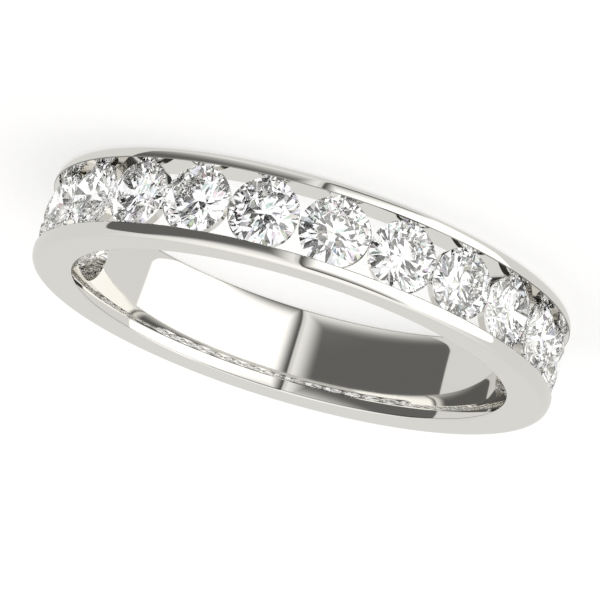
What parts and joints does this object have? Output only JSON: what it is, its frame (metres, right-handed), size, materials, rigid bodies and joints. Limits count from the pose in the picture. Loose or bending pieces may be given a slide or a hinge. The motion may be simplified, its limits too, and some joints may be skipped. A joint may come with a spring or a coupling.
{
  "type": "channel set band",
  "caption": "Polished white metal finger ring with a plain shank and a row of round brilliant stones, each on a round collar between the rails of an open channel.",
  "frame": {"origin": "centre of the band's round outside, on the surface that the ring lies on", "axes": "+Z along the finger hole, upwards as the ring lies on its side; -Y towards the middle of the row of stones; +X towards the end of the row with stone_01"},
  "size_m": [0.021, 0.021, 0.0037],
  "materials": {
    "white_gold": "polished",
    "diamond": "polished"
  },
  "bodies": {
    "root": {"band": "white_gold", "stone_01": "diamond", "stone_02": "diamond", "stone_03": "diamond", "stone_04": "diamond", "stone_05": "diamond", "stone_06": "diamond", "stone_07": "diamond", "stone_08": "diamond", "stone_09": "diamond", "stone_10": "diamond", "stone_11": "diamond", "stone_12": "diamond", "stone_13": "diamond", "stone_14": "diamond"}
  },
  "joints": []
}
